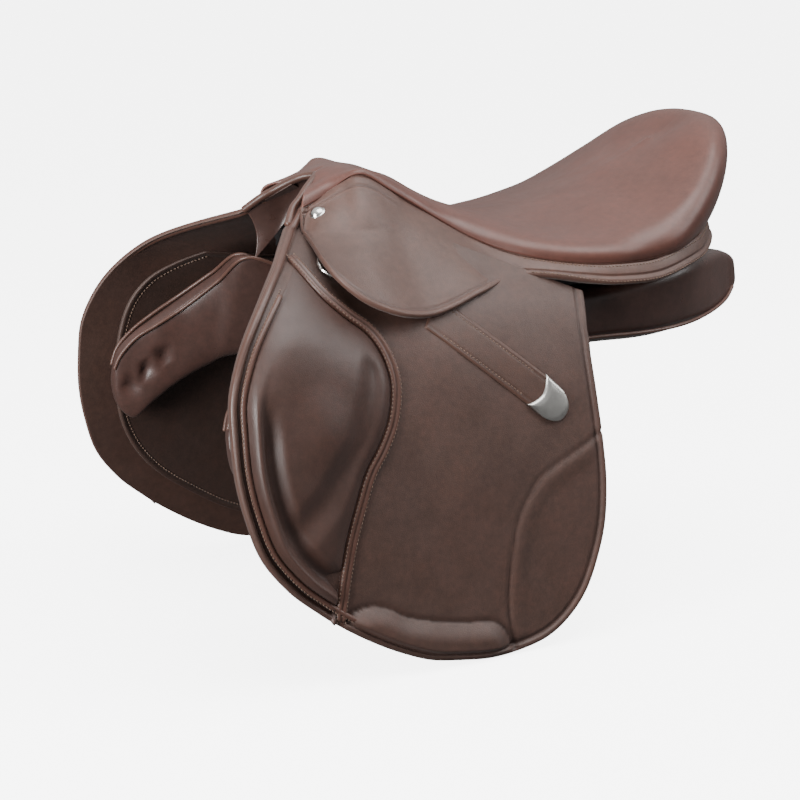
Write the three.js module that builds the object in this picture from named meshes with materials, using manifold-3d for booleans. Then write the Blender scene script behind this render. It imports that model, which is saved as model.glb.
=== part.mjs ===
// An English riding saddle, built as separate pieces: tree, seat, skirts, flaps, panels and fittings.
// Millimetres. +X runs to the cantle, +Y to the horse's right (the off side), +Z up.
// While it is built, the top of the pommel is at the origin. The last lines move the finished
// saddle so that the origin is the bottom centre of its bounding box.
import * as THREE from 'three';
import { mergeVertices } from 'three/addons/utils/BufferGeometryUtils.js';
import Module from 'manifold-3d';

const wasm = await Module();
wasm.setup();

const SIDES = [['near', -1], ['off', 1]];   // the near side is the horse's left, -Y

// ---------------------------------------------------------------- driving sizes
const GAP = 0.4;                 // clearance between neighbouring layers
const HINGE_Z = -100;            // the flap bends here, level with the skirt's lower edge
const HINGE_GAP = 1.5;           // half the slot between the fixed head and the moving flap
const BACK = {                   // the side the flaps hang on: half-width as a function of height
  top: -35, half: 45, flare: 95, depth: 45, frontDepth: 26, drop: 68, dropDepth: 250, roof: 1.2,
};
// each layer's inner and outer distance from that side, outward positive
const LAYER = {
  sweat: [-32, -28.5], block: [-28, 0.6], web: [-16, -13.4], billetIn: [-11, -7.8], billetOut: [-6.2, -3],
  flap: [1.5, 6], onFlap: [6 + GAP, 9.4], skirt: [9.8, 13.4],
};
const SEAT_SKIN = 3;
const FOAM_GAP = 4;             // room for the cover's facets
const FOAM = 17;
const TREE = 12;

// ---------------------------------------------------------------- small helpers
const clamp01 = (t) => Math.min(Math.max(t, 0), 1);
const smooth = (t) => clamp01(t) ** 2 * (3 - 2 * clamp01(t));
const lerp = THREE.MathUtils.lerp;
const spline = (points) => new THREE.SplineCurve(points.map(([x, z]) => new THREE.Vector2(x, z)));

// half-width of the saddle's side at a place, before any layer's own offset
function side(x, z) {
  const depth = lerp(BACK.frontDepth, BACK.depth, smooth((x + 110) / 110));
  const t = Math.max(BACK.top - z, 0);
  return BACK.half + BACK.flare * (1 - Math.exp(-t / depth)) + BACK.drop * (1 - Math.exp(-t / BACK.dropDepth))
    - BACK.roof * Math.max(z - BACK.top, 0);
}

// the same side for the skirts: wide over the pommel, and standing off the flap in front, over the D-ring
const SKIRT_STANDOFF = 14;
function skirtSide(x, z) {
  const roof = lerp(0.9, 0.3, smooth((x + 16) / 40));
  const standoff = SKIRT_STANDOFF * smooth((-30 - z) / 20) * smooth((40 - x) / 50);
  return side(x, Math.min(z, BACK.top)) - roof * Math.max(z - BACK.top, 0) + standoff;
}

// a closed body from points and triangles, turned so that its faces look outwards
function body(points, faces) {
  let volume = 0;
  for (const [a, b, c] of faces) volume += points[a].dot(points[b].clone().cross(points[c]));
  const geometry = new THREE.BufferGeometry().setFromPoints(points);
  geometry.setIndex(faces.flatMap(([a, b, c]) => (volume < 0 ? [a, c, b] : [a, b, c])));
  geometry.computeVertexNormals();
  return geometry;
}

// a bent slab between two surfaces, both functions of (u, v) from 0 to 1
function slab(columns, rows, outer, inner) {
  const points = [];
  const at = (layer, i, j) => (layer * (rows + 1) + j) * (columns + 1) + i;
  for (const surface of [outer, inner]) {
    for (let j = 0; j <= rows; j++) {
      for (let i = 0; i <= columns; i++) points.push(surface(i / columns, j / rows));
    }
  }
  const faces = [];
  const quad = (a, b, c, d) => faces.push([a, b, c], [a, c, d]);
  for (let j = 0; j < rows; j++) {
    for (let i = 0; i < columns; i++) {
      quad(at(0, i, j), at(0, i + 1, j), at(0, i + 1, j + 1), at(0, i, j + 1));
      quad(at(1, i, j), at(1, i, j + 1), at(1, i + 1, j + 1), at(1, i + 1, j));
    }
    quad(at(0, 0, j), at(0, 0, j + 1), at(1, 0, j + 1), at(1, 0, j));
    quad(at(0, columns, j), at(1, columns, j), at(1, columns, j + 1), at(0, columns, j + 1));
  }
  for (let i = 0; i < columns; i++) {
    quad(at(0, i, 0), at(1, i, 0), at(1, i + 1, 0), at(0, i + 1, 0));
    quad(at(0, i, rows), at(0, i + 1, rows), at(1, i + 1, rows), at(1, i, rows));
  }
  return body(points, faces);
}

// a leather sheet lying on the saddle's side, between a front edge and a rear edge
function sheet(s, front, rear, [inside, outside], { columns = 10, rows = 14, on = side, crown = 0 } = {}) {
  const [from, to] = [spline(front), spline(rear)];
  const place = (u, v, offset) => {
    const p = from.getPoint(v).lerp(to.getPoint(v), u);
    return new THREE.Vector3(p.x, s * (on(p.x, p.y) + offset), p.y);
  };
  const bulge = (u, v) => crown * Math.sqrt(Math.sin(Math.PI * u) * Math.sin(Math.PI * lerp(0.06, 0.94, v)));
  return slab(columns, rows, (u, v) => place(u, v, outside + bulge(u, v)), (u, v) => place(u, v, inside));
}

// a closed body through rings of points, with its ends closed to their middles
function loft(rings) {
  const points = rings.flat();
  const n = rings[0].length;
  const faces = [];
  for (let r = 0; r + 1 < rings.length; r++) {
    for (let k = 0; k < n; k++) {
      const [a, b] = [r * n + k, r * n + (k + 1) % n];
      faces.push([a, b, b + n], [a, b + n, a + n]);
    }
  }
  for (const [start, flip] of [[0, true], [points.length - n, false]]) {
    const middle = points.length;
    const ring = points.slice(start, start + n);
    points.push(ring.reduce((sum, p) => sum.add(p), new THREE.Vector3()).divideScalar(n));
    for (let k = 0; k < n; k++) {
      const [a, b] = [start + k, start + (k + 1) % n];
      faces.push(flip ? [b, a, middle] : [a, b, middle]);
    }
  }
  return body(points, faces);
}

// a strip of even thickness that follows a profile of [half-width, height] points, from x0 to x1
function strip(s, profile, thickness, x0, x1) {
  const curve = spline(profile);
  const steps = profile.length * 2;
  const place = (u, v, offset) => {
    const [p, t] = [curve.getPoint(v), curve.getTangent(v)];
    return new THREE.Vector3(lerp(x0, x1, u), s * (p.x - t.y * offset), p.y + t.x * offset);
  };
  return slab(1, steps, (u, v) => place(u, v, thickness), (u, v) => place(u, v, 0));
}

const parts = new THREE.Group();

const FINISH = {
  leather: { color: 0x4a3027, roughness: 0.62, metalness: 0 },
  seat_leather: { color: 0x52342a, roughness: 0.5, metalness: 0 },
  panel_leather: { color: 0x2b1d19, roughness: 0.55, metalness: 0 },
  billet_leather: { color: 0x3a2720, roughness: 0.7, metalness: 0 },
  polished_metal: { color: 0xb9bbbd, roughness: 0.2, metalness: 1 },
  steel: { color: 0x8b8d90, roughness: 0.4, metalness: 1 },
  tree_wood: { color: 0x9a7449, roughness: 0.7, metalness: 0 },
  webbing: { color: 0xcabfa6, roughness: 0.95, metalness: 0 },
  foam: { color: 0xd8cfa8, roughness: 1, metalness: 0 },
};
const materials = Object.fromEntries(
  Object.entries(FINISH).map(([name, values]) => [name, new THREE.MeshStandardMaterial(values)]),
);

function add(name, geometry, finish) {
  const mesh = new THREE.Mesh(geometry, materials[finish]);
  mesh.name = name;
  parts.add(mesh);
  return mesh;
}

function toSolid(geometry) {
  const bare = geometry.clone();
  bare.deleteAttribute('normal');
  bare.deleteAttribute('uv');
  const merged = mergeVertices(bare, 1e-3);
  return new wasm.Manifold(new wasm.Mesh({
    numProp: 3,
    vertProperties: new Float32Array(merged.attributes.position.array),
    triVerts: new Uint32Array(merged.index.array),
  }));
}

function toGeometry(solid) {
  const mesh = solid.getMesh();
  const geometry = new THREE.BufferGeometry();
  geometry.setAttribute('position', new THREE.BufferAttribute(mesh.vertProperties, 3));
  geometry.setIndex(new THREE.BufferAttribute(mesh.triVerts, 1));
  geometry.computeVertexNormals();
  return geometry;
}

// ---------------------------------------------------------------- the seat's shape
// stations along the seat: x, half-width at the welt, height of the welt, height of the middle
const SEAT = [
  [-16, 36, -24, -6], [0, 45, -14, 2], [24, 50, -4, 8], [60, 48, -13, 0], [95, 59, -38, -17],
  [130, 90, -63, -32], [175, 120, -71, -41], [230, 137, -72, -33], [285, 135, -65, -11],
  [335, 106, -58, 13], [362, 79, -56, 28], [384, 51, -55, 34], [400, 26, -53, 29], [408, 7, -46, -2],
];
const seatCurves = [1, 2, 3].map((column) => spline(SEAT.map((row) => [row[0], row[column]])));
const seatLength = spline(SEAT.map((row, i) => [i, row[0]]));

// the place along the seat's spline where a station's x is reached
function seatPlace(x) {
  let [low, high] = [0, 1];
  for (let k = 0; k < 30; k++) {
    const middle = (low + high) / 2;
    if (seatLength.getPoint(middle).y < x) low = middle;
    else high = middle;
  }
  return low;
}

function seatAt(x) {
  const t = seatPlace(x);
  const [half, welt, crest] = seatCurves.map((curve) => curve.getPoint(t).y);
  return { half, welt, crest };
}

// the seat's top surface: u runs from the pommel to the cantle, v from the near welt to the off welt
function seatTop(u, v, depth = 0, reach = 1) {
  const x = seatLength.getPoint(u).y;
  const { half, welt, crest } = seatAt(x);
  const across = Math.sin((v - 0.5) * Math.PI) * reach;
  const rise = Math.sqrt(Math.max(1 - Math.abs(across) ** 3.2, 0));
  return new THREE.Vector3(x, across * half, lerp(welt, crest, rise) - depth);
}

function seatLayer(from, depth, thickness, reach, to = 1, columns = 18, rows = 18) {
  const at = (u, v, d) => seatTop(lerp(from, to, v), u, d, reach);
  return slab(columns, rows, (u, v) => at(u, v, depth), (u, v) => at(u, v, depth + thickness));
}

add('seat_cover', seatLayer(0, 0, SEAT_SKIN, 1), 'seat_leather');
add('seat_foam', seatLayer(0.1, SEAT_SKIN + FOAM_GAP, FOAM, 0.86, 0.9, 12, 14), 'foam');

// webs are stretched over the tree, under the foam
const WEB = 1.6;
const WEB_GAP = 2.2;
const WEB_DEPTH = SEAT_SKIN + FOAM_GAP + FOAM + 2.2;
add('straining_web_long', seatLayer(0.12, WEB_DEPTH, WEB, 0.3, 0.86, 4, 14), 'webbing');
add('straining_web_cross', seatLayer(0.42, WEB_DEPTH + WEB + WEB_GAP, WEB, 0.78, 0.56, 10, 3), 'webbing');

// ---------------------------------------------------------------- tree, with its points
function makeTree() {
  const depth = WEB_DEPTH + 2 * (WEB + WEB_GAP);
  const rails = toSolid(seatLayer(0.08, depth, TREE, 0.8, 0.9, 12, 18));
  const hole = new THREE.Shape();
  hole.moveTo(120, -18);
  hole.bezierCurveTo(180, -75, 330, -85, 368, -30);
  hole.lineTo(368, 30);
  hole.bezierCurveTo(330, 85, 180, 75, 120, 18);
  const cutter = new THREE.ExtrudeGeometry(hole, { depth: 200, bevelEnabled: false, curveSegments: 10 });
  cutter.translate(0, 0, -150);
  let tree = rails.subtract(toSolid(cutter));
  for (const [, s] of SIDES) {
    const point = strip(s, [[14, -30], [34, -40], [56, -68], [78, -104]], 9, -4, 34);
    tree = tree.add(toSolid(point));
  }
  return toGeometry(tree);
}
add('tree', makeTree(), 'tree_wood');

// the steel plate that keeps the tree's head from spreading, under the arch
const plateProfile = [[-62, -92], [-46, -68], [-28, -50], [0, -46], [28, -50], [46, -68], [62, -92]];
add('gullet_plate', strip(1, plateProfile, -3, 2, 28), 'steel');

// ---------------------------------------------------------------- skirts
const skirtBend = (x) => -31 - (x + 17) * 0.247;          // the line that the skirt bends along
const underSeat = (x) => seatAt(x).welt - SEAT_SKIN - 1.6;
for (const [name, s] of SIDES) {
  const baseStations = [-15, 4, 24, 44, 64, 84, 104];
  add(`skirt_base_${name}`, sheet(
    s,
    baseStations.map((x) => [x, Math.max(underSeat(x), skirtBend(x) + 2.5)]),
    baseStations.map((x) => [x, skirtBend(x) + 1.2]),
    LAYER.skirt, { columns: 5, rows: 14, on: skirtSide },
  ), 'leather');
  add(`skirt_${name}`, sheet(
    s,
    [[-41, -53], [-35, -40], [-18, -32.5],
      [22, skirtBend(22) - 1.2], [66, skirtBend(66) - 1.2], [96, skirtBend(96) - 1.2],
      [121, skirtBend(121) - 1.2]],
    [[-39, -59], [-29, -75], [-1, -93], [34, -98], [70, -93], [98, -83], [121, -79]],
    LAYER.skirt, { columns: 6, rows: 18, on: skirtSide },
  ), 'leather');
}

// ---------------------------------------------------------------- flaps
const flapEnd = HINGE_Z - HINGE_GAP;
for (const [name, s] of SIDES) {
  add(`flap_head_${name}`, sheet(
    s,
    [[-25, -15], [-52, -34], [-79, -49], [-107, -67], [-130, -90], [-138, HINGE_Z + HINGE_GAP]],
    [[-21, -18], [-23, -50], [-11, -80], [61, -89], [188, -92], [187, HINGE_Z + HINGE_GAP]],
    LAYER.flap, { columns: 8, rows: 12 },
  ), 'leather');
  add(`flap_${name}`, sheet(
    s,
    [[-138, flapEnd], [-156, -141], [-159, -202], [-142, -270], [-95, -321], [-22, -367], [49, -385]],
    [[187, flapEnd], [180, -151], [183, -212], [183, -264], [172, -316], [142, -363], [79, -385]],
    LAYER.flap, { columns: 10, rows: 16 },
  ), 'leather');
  add(`knee_pad_${name}`, sheet(
    s,
    [[-129, HINGE_Z - 5], [-148, -141], [-151, -202], [-134, -266], [-94, -310]],
    [[-26, HINGE_Z - 5], [-10, -151], [-25, -196], [-56, -254], [-76, -324]],
    [LAYER.onFlap[0] + 0.4, 8], { columns: 7, rows: 10, crown: 7 },
  ), 'leather');
  add(`keeper_strap_${name}`, sheet(
    s, [[65, HINGE_Z - 4.5], [101, -133], [136, -159]], [[36, HINGE_Z - 4.5], [76, -143], [117, -175]],
    LAYER.onFlap, { columns: 3, rows: 8 },
  ), 'leather');
  add(`keeper_cap_${name}`, sheet(
    s, [[137, -159], [145, -173], [148, -192]], [[117, -176], [131, -186], [144, -196]],
    [LAYER.onFlap[0], 10.5], { columns: 4, rows: 6 },
  ), 'polished_metal');
}

// ---------------------------------------------------------------- under the flaps
for (const [name, s] of SIDES) {
  add(`sweat_flap_${name}`, sheet(
    s,
    [[-138, -109], [-150, -151], [-149, -202], [-135, -241], [-96, -299], [-46, -330], [25, -355]],
    [[152, -109], [154, -151], [157, -202], [156, -252], [146, -307], [116, -343], [65, -357]],
    LAYER.sweat, { columns: 8, rows: 12 },
  ), 'panel_leather');
  add(`knee_block_${name}`, sheet(
    s, [[-122, -122], [-134, -151], [-134, -202], [-117, -252], [-90, -288]],
    [[-90, -122], [-82, -151], [-83, -202], [-78, -254], [-74, -302]],
    LAYER.block, { columns: 4, rows: 10 },
  ), 'leather');
  add(`thigh_block_${name}`, sheet(
    s,
    [[135, -207], [138, -252], [137, -302], [131, -337]],
    [[154, -207], [155, -252], [151, -302], [140, -339]],
    LAYER.block, { columns: 3, rows: 8 },
  ), 'leather');
}

const BILLET = { width: 25, top: -92, bottom: -330, first: 14, pitch: 34 };
for (const [name, s] of SIDES) {
  ['front', 'middle', 'rear'].forEach((place, i) => {
    const x = BILLET.first + i * BILLET.pitch;
    const layer = i === 1 ? LAYER.billetIn : LAYER.billetOut;
    add(`billet_${place}_${name}`, sheet(
      s, [[x, BILLET.top], [x, -210], [x + 2, BILLET.bottom]],
      [[x + BILLET.width, BILLET.top], [x + BILLET.width, -210], [x + BILLET.width - 2, BILLET.bottom]],
      layer, { columns: 1, rows: 14 },
    ), 'billet_leather');
  });
  const hang = (z) => [side(50, z) + LAYER.web[0], z];
  const frontWeb = [[98, -88], [110, -91], hang(-100), hang(-114)];
  const rearWeb = [[72, -74], [88, -82], hang(-96), hang(-114)];
  add(`girth_web_front_${name}`, strip(s, frontWeb, 2.4, 6, 36), 'webbing');
  add(`girth_web_rear_${name}`, strip(s, rearWeb, 2.4, 92, 124), 'webbing');
}

// ---------------------------------------------------------------- panels
// stations from the front of each cushion to its rear: x, then the cross-section's corners as
// [half-width, height]: inner top, outer top, outer bottom, inner bottom
const PANEL = [
  [-152, [121, -180], [130, -176], [134, -194], [125, -197]],
  [-146, [117, -168], [127, -162], [136, -212], [123, -213]],
  [-130, [112, -153], [123, -147], [136, -226], [120, -226]],
  [-109, [105, -140], [118, -132], [130, -212], [112, -208]],
  [-85, [94, -123], [107, -114], [124, -194], [103, -190]],
  [-62, [72, -98], [86, -92], [120, -180], [94, -177]],
  [-46, [46, -74], [58, -72], [116, -172], [82, -168]],
  [-10, [36, -84], [48, -92], [108, -166], [64, -164]],
  [50, [35, -94], [48, -98], [107, -161], [56, -163]],
  [120, [34, -98], [84, -100], [114, -144], [50, -160]],
  [200, [34, -97], [112, -97], [120, -137], [52, -156]],
  [290, [34, -86], [110, -82], [120, -137], [52, -156]],
  [345, [34, -84], [86, -80], [104, -132], [50, -150]],
  [385, [34, -90], [66, -88], [80, -126], [46, -138]],
  [406, [38, -96], [54, -94], [62, -110], [46, -120]],
];

// a cross-section of 16 points along its four edges, with the belly rounded out below
const BELLY = 4;
function panelRing(s, [x, ...corners]) {
  const ring = [];
  corners.forEach(([y0, z0], k) => {
    const [y1, z1] = corners[(k + 1) % 4];
    const length = Math.hypot(y1 - y0, z1 - z0);
    for (const t of [0.12, 0.37, 0.63, 0.88]) {
      const swell = (k === 2 ? BELLY : 0.5) * Math.sin(Math.PI * t);
      const y = lerp(y0, y1, t) - ((z1 - z0) / length) * swell;
      const z = lerp(z0, z1, t) + ((y1 - y0) / length) * swell;
      ring.push(new THREE.Vector3(x, s * y, z));
    }
  });
  return ring;
}
for (const [name, s] of SIDES) {
  add(`panel_${name}`, loft(PANEL.map((row) => panelRing(s, row))), 'panel_leather');
}


// ---------------------------------------------------------------- fittings
// a frame on the saddle's side: its X runs along [dx, dz], its Z points outwards
function frameOn(s, surface, x, z, dx, dz, offset) {
  const step = 0.5;
  const on = (px, pz) => new THREE.Vector3(px, s * surface(px, pz), pz);
  const along = (ax, az) => (
    on(x + ax * step, z + az * step).sub(on(x - ax * step, z - az * step)).normalize()
  );
  const e1 = along(dx, dz);
  const out = e1.clone().cross(along(-dz, dx)).normalize();
  if (out.y * s < 0) out.negate();
  const e2 = out.clone().cross(e1);
  return new THREE.Matrix4().makeBasis(e1, e2, out).setPosition(on(x, z).addScaledVector(out, offset));
}

// a turned piece: a profile of [radius, height] points about its frame's Z
function turned(profile, segments = 20) {
  const points = profile.map(([r, h]) => new THREE.Vector2(r, h));
  return new THREE.LatheGeometry(points, segments).rotateX(Math.PI / 2);
}

// a D: a straight bar along X with a half-round hoop towards -Y
function dee(radius, wire) {
  const path = new THREE.CurvePath();
  const [left, right] = [new THREE.Vector3(-radius, 0, 0), new THREE.Vector3(radius, 0, 0)];
  const hoop = new THREE.CatmullRomCurve3(Array.from({ length: 13 }, (_, i) => {
    const angle = Math.PI * (i / 12);
    return new THREE.Vector3(-radius * Math.cos(angle), -radius * Math.sin(angle), 0);
  }));
  path.add(hoop);
  path.add(new THREE.LineCurve3(right, left));
  const rings = [];
  const circle = 8;
  const middle = new THREE.Vector3(0, -radius * 0.45, 0);
  const count = 28;
  for (let i = 0; i < count; i++) {
    const p = path.getPoint(i / count);
    const away = p.clone().sub(middle).normalize();
    rings.push(Array.from({ length: circle }, (_, k) => {
      const a = (2 * Math.PI * k) / circle;
      const up = new THREE.Vector3(0, 0, wire * Math.sin(a));
      return p.clone().addScaledVector(away, wire * Math.cos(a)).add(up);
    }));
  }
  const faces = [];
  for (let i = 0; i < count; i++) {
    for (let k = 0; k < circle; k++) {
      const [a, b] = [i * circle + k, i * circle + ((k + 1) % circle)];
      const [c, d] = [((i + 1) % count) * circle + k, ((i + 1) % count) * circle + ((k + 1) % circle)];
      faces.push([a, b, d], [a, d, c]);
    }
  }
  return body(rings.flat(), faces);
}

function place(name, geometry, matrix, finish) {
  add(name, geometry, finish).applyMatrix4(matrix);
}

const NAIL = { x: -15, z: -29, radius: 6.2, rise: 2.6 };
const DEE = { x: -35, z: -63, radius: 13, wire: 1.9, above: 6.2 };
const BAR = { from: -6, to: 66, radius: 5, lift: 14, thick: 3, point: [63.4, -62.9], out: [0.821, 0.571] };
for (const [name, s] of SIDES) {
  const dome = [
    [0, 0], [NAIL.radius, 0], [NAIL.radius, 0.8], [4.6, 1.9], [2.4, NAIL.rise - 0.2], [0, NAIL.rise],
  ];
  const onSkirt = frameOn(s, skirtSide, NAIL.x, NAIL.z, 1, 0, LAYER.skirt[1] + 0.6);
  place(`saddle_nail_${name}`, turned(dome), onSkirt, 'polished_metal');

  const onHead = frameOn(s, side, DEE.x, DEE.z, 0.43 * -s, -0.9 * -s, DEE.above);
  place(`dring_${name}`, dee(DEE.radius, DEE.wire), onHead, 'polished_metal');
  const tab = new THREE.BoxGeometry(16, 14, 2.4).translate(0, DEE.wire + 0.5 + 7, -0.2);
  place(`dring_chape_${name}`, tab, onHead, 'leather');

  // the stirrup bar stands off a plate that is riveted to the tree's point
  const out = new THREE.Vector3(0, s * BAR.out[0], BAR.out[1]).normalize();
  const along = new THREE.Vector3(1, 0, 0);
  const origin = new THREE.Vector3(0, s * BAR.point[0], BAR.point[1]).addScaledVector(out, 0.6);
  const onTree = new THREE.Matrix4().makeBasis(along, out.clone().cross(along), out).setPosition(origin);
  const length = BAR.to - BAR.from;
  const middle = (BAR.to + BAR.from) / 2;
  const box = (x, y, z, dx, dy, dz) => toSolid(new THREE.BoxGeometry(dx, dy, dz).translate(x, y, z));
  const bar = box(middle, 0, BAR.thick / 2, length, 20, BAR.thick)
    .add(box(BAR.from + 5, 0, BAR.lift / 2 + BAR.thick / 2, 10, 12, BAR.lift))
    .add(box(middle, 0, BAR.lift + BAR.thick / 2, length, 9, 6));
  place(`stirrup_bar_${name}`, toGeometry(bar), onTree, 'steel');
  const head = [[0, 0], [4, 0], [4, 1.2], [2.4, 2.4], [0, 2.8]];
  const rivetAt = (x) => onTree.clone().multiply(new THREE.Matrix4().makeTranslation(x, 0, BAR.thick + 0.3));
  place(`bar_rivet_front_${name}`, turned(head, 12), rivetAt(14), 'steel');
  place(`bar_rivet_rear_${name}`, turned(head, 12), rivetAt(56), 'steel');
  const catchBox = new THREE.BoxGeometry(5, 10, 14).translate(BAR.to + 3.2, 0, 13);
  place(`bar_catch_${name}`, catchBox, onTree, 'steel');

  const pocket = [[85, -86], [93, -104], [99, -122]];
  add(`point_pocket_${name}`, strip(s, pocket, 2, -8, 38), 'leather');
}

// ---------------------------------------------------------------- front and rear facings
const arch = [[-34, -62], [-31, -40], [-22, -22], [0, -16], [22, -22], [31, -40], [34, -62]];
add('pommel_facing', strip(1, arch, -3, -24, -17), 'leather');

// the band under the seat, from skirt to skirt round the cantle
function cantleBand(u, v, out) {
  const t = Math.PI * (u - 0.5) * 2;
  const x = lerp(399, 130, smooth(Math.abs(t) / Math.PI));
  const { half, welt } = seatAt(x);
  const z = welt - lerp(5, 17.5, v);
  return new THREE.Vector3(x + out * (1 - Math.abs(t) / Math.PI), Math.sign(t) * (half + out), z);
}
add('cantle_band', slab(36, 2, (u, v) => cantleBand(u, v, 1), (u, v) => cantleBand(u, v, -2)), 'leather');

// ---------------------------------------------------------------- the finished saddle's place
const box = new THREE.Box3().setFromObject(parts, true);
const saddle = new THREE.Group();
parts.position.set(-(box.min.x + box.max.x) / 2, -(box.min.y + box.max.y) / 2, -box.min.z);
saddle.add(parts);
export default saddle;
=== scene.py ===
# An English riding saddle: the looks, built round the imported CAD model.
import math

import bmesh
import bpy
import numpy as np
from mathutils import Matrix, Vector


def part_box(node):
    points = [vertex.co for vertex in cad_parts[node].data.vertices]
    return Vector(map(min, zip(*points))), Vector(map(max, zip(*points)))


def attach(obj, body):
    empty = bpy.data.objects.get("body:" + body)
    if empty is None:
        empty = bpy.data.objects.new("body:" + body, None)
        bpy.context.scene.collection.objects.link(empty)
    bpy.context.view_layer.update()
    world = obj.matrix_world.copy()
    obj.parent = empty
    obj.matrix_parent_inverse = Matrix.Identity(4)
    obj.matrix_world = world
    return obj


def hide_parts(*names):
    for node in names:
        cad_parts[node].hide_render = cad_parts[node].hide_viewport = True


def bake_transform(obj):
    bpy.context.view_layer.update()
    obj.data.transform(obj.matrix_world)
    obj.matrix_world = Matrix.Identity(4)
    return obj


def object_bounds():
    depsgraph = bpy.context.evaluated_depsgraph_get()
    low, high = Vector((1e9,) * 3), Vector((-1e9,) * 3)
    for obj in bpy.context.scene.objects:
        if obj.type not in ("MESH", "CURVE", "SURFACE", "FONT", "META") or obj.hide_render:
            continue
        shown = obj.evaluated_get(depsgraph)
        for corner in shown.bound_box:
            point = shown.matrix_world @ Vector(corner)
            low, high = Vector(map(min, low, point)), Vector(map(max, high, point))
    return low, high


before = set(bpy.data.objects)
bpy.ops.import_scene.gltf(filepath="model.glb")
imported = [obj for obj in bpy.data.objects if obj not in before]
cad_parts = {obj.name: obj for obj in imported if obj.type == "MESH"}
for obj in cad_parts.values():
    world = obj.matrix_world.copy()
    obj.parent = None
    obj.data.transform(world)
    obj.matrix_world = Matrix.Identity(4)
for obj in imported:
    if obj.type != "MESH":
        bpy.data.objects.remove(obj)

cad_box = [list(corner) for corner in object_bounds()]

# ---------------------------------------------------------------- places, in mm from the pommel's top
# The saddle is drawn in mm from the top of its pommel, as the CAD is: +x to the cantle, +y to the off side,
# +z up. These two put it in the frame.
POMMEL_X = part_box("seat_cover")[0].x * 1000 + 16       # the seat starts 16 mm ahead of the pommel's top
POMMEL_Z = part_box("flap_near")[0].z * 1000 + 385       # the flaps hang 385 mm below it
SIDES = (("near", -1), ("off", 1))
BACK_TOP = -35                           # below this height the saddle's side flares outwards
# each layer's inner and outer face, as distances outwards from the side surface
SWEAT_IN, SWEAT_OUT = -31.6, -28.7
BLOCK_IN, BLOCK_ROOT, BLOCK_HEIGHT = -28.3, -27.5, 26
FLAP_IN, FLAP_OUT = 1.5, 6.0
SKIRT_MIDDLE, SKIRT_THICKNESS = 11.6, 3.4
SKIRT_STANDOFF = 14                      # room for the D-ring under the skirt's front


def to_frame(points):
    """mm from the pommel's top to metres in the row's frame"""
    return (np.asarray(points, float) + [POMMEL_X, 0, POMMEL_Z]) / 1000


def smooth(t):
    t = np.clip(t, 0, 1)
    return t * t * (3 - 2 * t)


def lerp(a, b, t):
    return a + (b - a) * t


def bump(t):
    """1 at 0, falling smoothly to 0 at 1 and beyond"""
    return smooth(1 - np.abs(t))


def side(x, z):
    """half-width of the saddle's side, which the flaps lie on"""
    depth = lerp(26, 45, smooth((x + 110) / 110))
    below, above = np.maximum(BACK_TOP - z, 0), np.maximum(z - BACK_TOP, 0)
    return 45 + 95 * (1 - np.exp(-below / depth)) + 68 * (1 - np.exp(-below / 250)) - 1.2 * above


def skirt_side(x, z):
    """the same for the skirts, which are wide over the pommel and stand off the D-ring in front"""
    roof = lerp(0.9, 0.3, smooth((x + 16) / 40))
    standoff = SKIRT_STANDOFF * smooth((-30 - z) / 20) * smooth((40 - x) / 50)
    return side(x, np.minimum(z, BACK_TOP)) - roof * np.maximum(z - BACK_TOP, 0) + standoff


def spline(points, t):
    """a Catmull-Rom curve through the points, at each t from 0 to 1"""
    p = np.asarray(points, float)
    t = np.atleast_1d(np.asarray(t, float)) * (len(p) - 1)
    k = np.clip(t.astype(int), 0, len(p) - 2)
    f = (t - k)[:, None]
    a, b, c, d = p[np.maximum(k - 1, 0)], p[k], p[k + 1], p[np.minimum(k + 2, len(p) - 1)]
    va, vb = (c - a) / 2, (d - b) / 2
    return (2 * b - 2 * c + va + vb) * f ** 3 + (-3 * b + 3 * c - 2 * va - vb) * f ** 2 + va * f + b


def even(points, pitch):
    """points along a polyline at an even pitch"""
    p = np.asarray(points, float)
    s = np.r_[0, np.cumsum(np.linalg.norm(np.diff(p, axis=0), axis=1))]
    at = np.linspace(0, s[-1], max(int(s[-1] / pitch), 2) + 1)
    return np.stack([np.interp(at, s, p[:, i]) for i in range(p.shape[1])], 1)


def distance(x, z, line):
    """signed distance of each (x, z) to a polyline: positive on its right-hand side"""
    p = np.stack([np.ravel(x), np.ravel(z)], 1)
    best = np.full(len(p), 1e9)
    sign = np.ones(len(p))
    for a, b in zip(line[:-1], line[1:]):
        d = b - a
        t = np.clip(((p - a) @ d) / max(d @ d, 1e-9), 0, 1)
        r = p - (a + t[:, None] * d)
        n = np.linalg.norm(r, axis=1)
        nearer = n < best
        best[nearer] = n[nearer]
        sign[nearer] = np.where(d[0] * r[:, 1] - d[1] * r[:, 0] > 0, -1, 1)[nearer]
    return (best * sign).reshape(np.shape(x))


# ---------------------------------------------------------------- materials
def nodes_of(name):
    """a new material, its node tree and its shader"""
    material = bpy.data.materials.new(name)
    material.use_nodes = True
    tree = material.node_tree
    return material, tree, tree.nodes["Principled BSDF"]


def add_node(tree, kind, inputs=None, **settings):
    """a node with its settings made and its inputs linked or set"""
    node = tree.nodes.new(kind)
    for key, value in settings.items():
        setattr(node, key, value)
    for key, value in (inputs or {}).items():
        if isinstance(value, bpy.types.NodeSocket):
            tree.links.new(value, node.inputs[key])
        else:
            node.inputs[key].default_value = value
    return node


def linear(colour):
    """an sRGB colour of 0 to 255 as linear RGBA"""
    c = np.asarray(colour, float) / 255
    c = np.where(c <= 0.04045, c / 12.92, ((c + 0.055) / 1.055) ** 2.4)
    return (*c, 1)


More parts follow.
